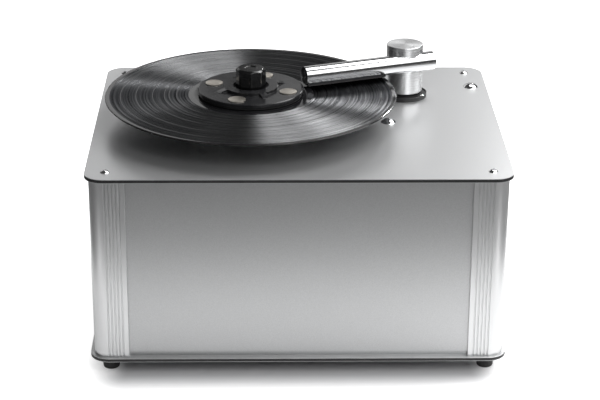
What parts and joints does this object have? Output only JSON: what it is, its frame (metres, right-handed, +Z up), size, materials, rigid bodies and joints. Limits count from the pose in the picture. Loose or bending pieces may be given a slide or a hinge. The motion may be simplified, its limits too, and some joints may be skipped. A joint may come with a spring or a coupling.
{
  "type": "record cleaning machine",
  "caption": "Desktop record cleaning machine: panelled aluminium case, turntable with magnetic clamp and a swinging chromed suction arm.",
  "frame": {"origin": "middle of the footprint, at the bottom of the rubber feet", "axes": "+X to the user's right along the width, +Y to the back, +Z up"},
  "size_m": [0.415, 0.338, 0.267],
  "materials": {
    "deck_sheet": "satin anodised skins on a black core",
    "wall_sheet": "finely textured satin anodised",
    "profile": "satin anodised extrusion",
    "polished_steel": "polished",
    "foot_rubber": "matt moulded",
    "zinc_steel": "zinc plated",
    "turned_aluminium": "lathe turned, clear anodised",
    "black_polymer": "fine satin mould texture",
    "spring_steel": "drawn wire",
    "bush_bronze": "sintered bronze",
    "cast_zinc": "die cast",
    "tank_polymer": "natural translucent",
    "hose_rubber": "smooth satin",
    "clear_window": "clear acrylic",
    "circuit_board": "solder mask",
    "board_component": "moulded packages",
    "contact_brass": "nickel-plated brass",
    "rocker_polymer": "glossy",
    "vinyl": "glossy grooved vinyl",
    "label_paper": "coated paper",
    "clamp_polymer": "satin",
    "nickel": "nickel plated, fine brushed",
    "knob_polymer": "semi-gloss",
    "chrome": "mirror",
    "velvet_black": "short pile"
  },
  "bodies": {
    "case": {"top_plate": "deck_sheet", "bottom_plate": "deck_sheet", "front_panel": "wall_sheet", "rear_panel": "wall_sheet", "left_panel": "wall_sheet", "right_panel": "wall_sheet", "profile_front_left": "profile", "profile_front_right": "profile", "profile_rear_left": "profile", "profile_rear_right": "profile", "deck_screws": "polished_steel", "rubber_feet": "foot_rubber", "foot_screws": "zinc_steel", "dome_bolts": "polished_steel", "tank_pillars": "turned_aluminium", "arm_guide": "black_polymer", "arm_guide_screws": "polished_steel", "lift_spring": "spring_steel", "shaft_bush": "bush_bronze", "motor_plate": "zinc_steel", "plate_screws": "zinc_steel", "gear_head": "cast_zinc", "drive_motor": "zinc_steel", "waste_tank": "tank_polymer", "tank_lid": "black_polymer", "lid_seal": "foot_rubber", "lid_screws": "zinc_steel", "drain_port": "black_polymer", "level_window": "clear_window", "suction_hose": "hose_rubber", "fan_housing": "black_polymer", "fan_cover": "black_polymer", "fan_motor": "zinc_steel", "motor_cradle": "foot_rubber", "exhaust_duct": "hose_rubber", "control_board": "circuit_board", "board_parts": "board_component", "power_inlet": "black_polymer", "inlet_pins": "contact_brass", "switch_bezels": "black_polymer"},
    "turntable": {"drive_shaft": "polished_steel", "platter": "turned_aluminium", "platter_mat": "foot_rubber", "record": "vinyl", "record_label": "label_paper"},
    "record_clamp": {"clamp_body": "clamp_polymer", "clamp_edge": "foot_rubber", "clamp_magnets": "nickel", "clamp_knob": "knob_polymer"},
    "lift": {"lift_stem": "black_polymer"},
    "arm": {"arm_post": "turned_aluminium", "arm_cap": "turned_aluminium", "arm_tube": "chrome", "arm_trim": "velvet_black"},
    "fan_wheel": {"impeller": "turned_aluminium"},
    "mains_switch": {"mains_rocker": "rocker_polymer"},
    "suction_switch": {"suction_rocker": "rocker_polymer"},
    "direction_switch": {"direction_rocker": "rocker_polymer"},
    "fuse_holder": {"fuse_drawer": "black_polymer"},
    "drain": {"drain_plug": "black_polymer"}
  },
  "joints": [
    {"name": "platter_spin", "type": "hinge", "parent": "case", "child": "turntable", "pos_m": [-0.0475, 0, 0.209], "axis": [0, 0, 1], "continuous": true},
    {"name": "clamp_lift", "type": "slide", "parent": "turntable", "child": "record_clamp", "axis": [0, 0, 1], "range_m": [0, 0.045]},
    {"name": "arm_lift", "type": "slide", "parent": "case", "child": "lift", "axis": [0, 0, 1], "range_m": [0, 0.015]},
    {"name": "arm_swing", "type": "hinge", "parent": "lift", "child": "arm", "pos_m": [0.11585, 0.07452, 0.224], "axis": [0, 0, 1], "range_deg": [0, 105]},
    {"name": "fan_spin", "type": "hinge", "parent": "case", "child": "fan_wheel", "pos_m": [-0.1082, 0.078, 0.1], "axis": [0, 0, 1], "continuous": true},
    {"name": "mains_tip", "type": "hinge", "parent": "case", "child": "mains_switch", "pos_m": [-0.02, 0.1599, 0.102], "axis": [-1, 0, 0], "range_deg": [-16, 0]},
    {"name": "suction_tip", "type": "hinge", "parent": "case", "child": "suction_switch", "pos_m": [0.1984, -0.107, 0.171], "axis": [0, 1, 0], "range_deg": [-16, 0]},
    {"name": "direction_tip", "type": "hinge", "parent": "case", "child": "direction_switch", "pos_m": [0.1984, -0.077, 0.171], "axis": [0, 1, 0], "range_deg": [-8, 8]},
    {"name": "fuse_slide", "type": "slide", "parent": "case", "child": "fuse_holder", "axis": [0, 1, 0], "range_m": [0, 0.014]},
    {"name": "plug_pull", "type": "slide", "parent": "case", "child": "drain", "axis": [0, 1, 0], "range_m": [0, 0.012]}
  ]
}
